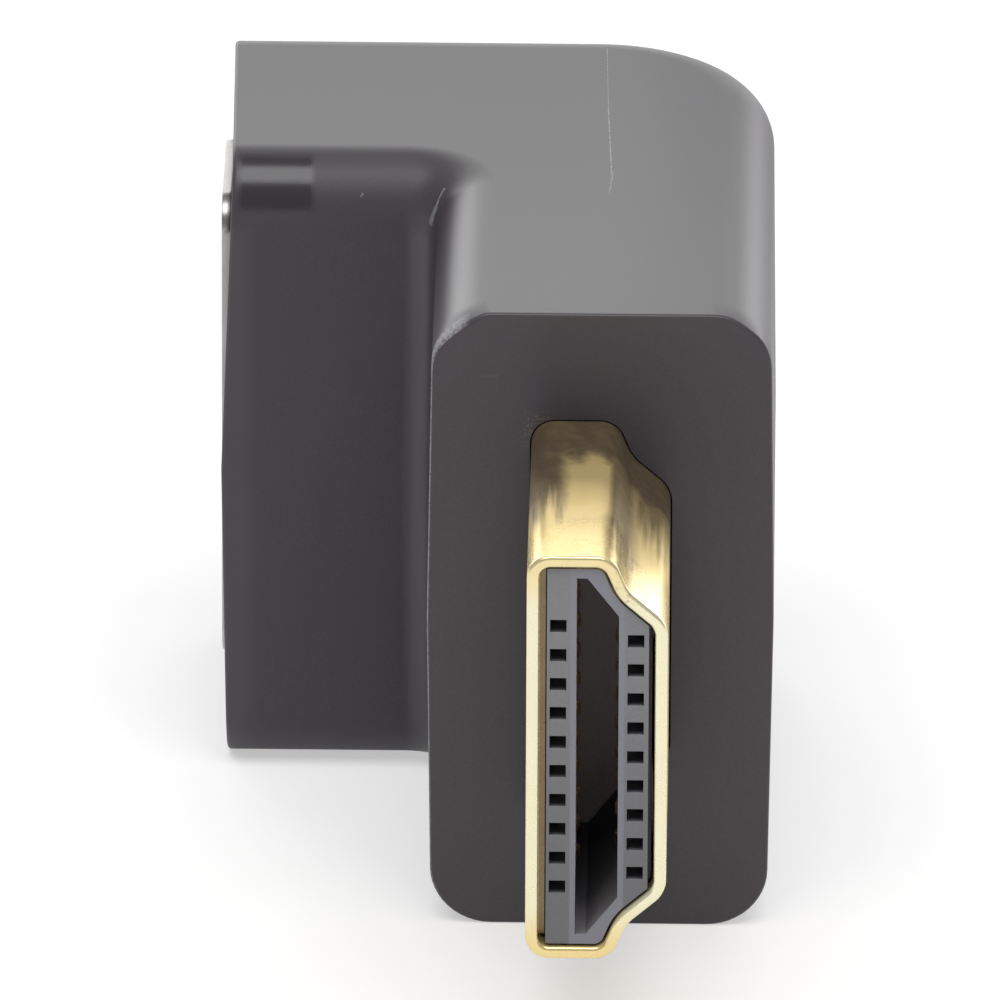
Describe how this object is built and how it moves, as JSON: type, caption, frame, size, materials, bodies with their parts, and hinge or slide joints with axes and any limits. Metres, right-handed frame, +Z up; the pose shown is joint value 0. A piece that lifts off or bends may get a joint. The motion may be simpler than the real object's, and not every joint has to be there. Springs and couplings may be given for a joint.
{
  "type": "right angle audio video adapter",
  "caption": "Right angle adapter: a dark moulded L-shaped body with a gold-plated flat plug on one end and a matching socket in the other.",
  "frame": {"origin": "middle of the bottom of the whole adapter, on the surface that it stands on", "axes": "+Z up, square to the plane of the bend; the plug points along -Y and the socket in the arm's end faces -X"},
  "size_m": [0.018, 0.0352, 0.0213],
  "materials": {
    "dark_moulding": "satin moulded plastic, charcoal",
    "grey_moulding": "matte moulded plastic, mid grey",
    "gold_plate": "bright gold plating over folded sheet",
    "nickel_plate": "bright nickel plating over folded sheet",
    "contact_metal": "gold flashed spring contact",
    "board_green": "bare green board"
  },
  "bodies": {
    "root": {"housing": "dark_moulding", "plug_shell": "gold_plate", "plug_insulator": "grey_moulding", "socket_shell": "nickel_plate", "socket_insulator": "grey_moulding", "circuit_board": "board_green", "plug_contact_01": "contact_metal", "plug_contact_02": "contact_metal", "plug_contact_03": "contact_metal", "plug_contact_04": "contact_metal", "plug_contact_05": "contact_metal", "plug_contact_06": "contact_metal", "plug_contact_07": "contact_metal", "plug_contact_08": "contact_metal", "plug_contact_09": "contact_metal", "plug_contact_10": "contact_metal", "plug_contact_11": "contact_metal", "plug_contact_12": "contact_metal", "plug_contact_13": "contact_metal", "plug_contact_14": "contact_metal", "plug_contact_15": "contact_metal", "plug_contact_16": "contact_metal", "plug_contact_17": "contact_metal", "plug_contact_18": "contact_metal", "plug_contact_19": "contact_metal", "socket_contact_01": "contact_metal", "socket_contact_02": "contact_metal", "socket_contact_03": "contact_metal", "socket_contact_04": "contact_metal", "socket_contact_05": "contact_metal", "socket_contact_06": "contact_metal", "socket_contact_07": "contact_metal", "socket_contact_08": "contact_metal", "socket_contact_09": "contact_metal", "socket_contact_10": "contact_metal", "socket_contact_11": "contact_metal", "socket_contact_12": "contact_metal", "socket_contact_13": "contact_metal", "socket_contact_14": "contact_metal", "socket_contact_15": "contact_metal", "socket_contact_16": "contact_metal", "socket_contact_17": "contact_metal", "socket_contact_18": "contact_metal", "socket_contact_19": "contact_metal"}
  },
  "joints": []
}
